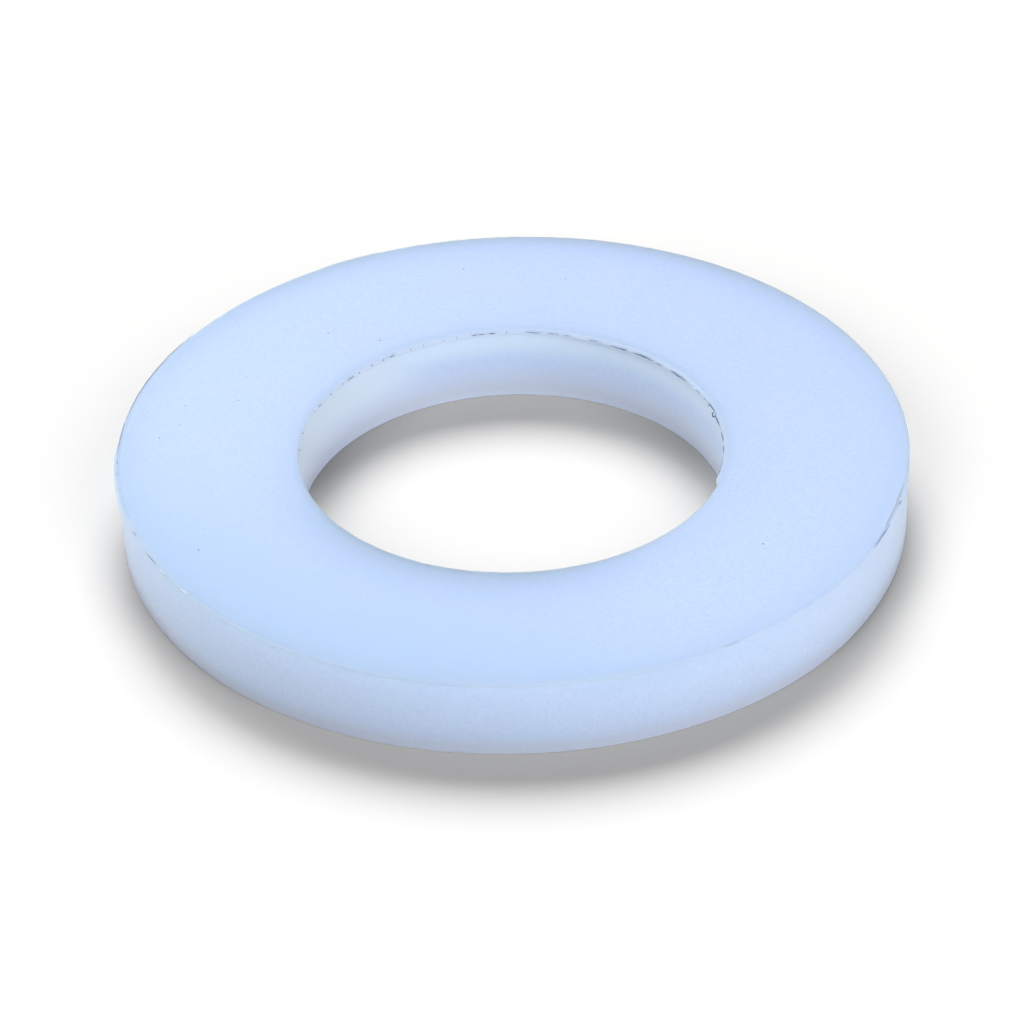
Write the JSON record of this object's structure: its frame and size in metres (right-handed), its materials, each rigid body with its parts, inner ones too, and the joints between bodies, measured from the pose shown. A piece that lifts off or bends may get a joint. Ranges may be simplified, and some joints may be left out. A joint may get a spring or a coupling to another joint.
{
  "type": "flat washer",
  "caption": "Flat round washer moulded in natural polyamide, with a plain central bolt bore and two flat bearing faces.",
  "frame": {"origin": "centre of the bore at the lower bearing face, the one with the slightly smaller edge roundings", "axes": "+Z along the bore axis towards the upper bearing face; +X and +Y are any two radii, since the washer is round"},
  "size_m": [0.024, 0.024, 0.0025],
  "materials": {
    "polyamide": "satin"
  },
  "bodies": {
    "root": {"flat_washer": "polyamide"}
  },
  "joints": []
}
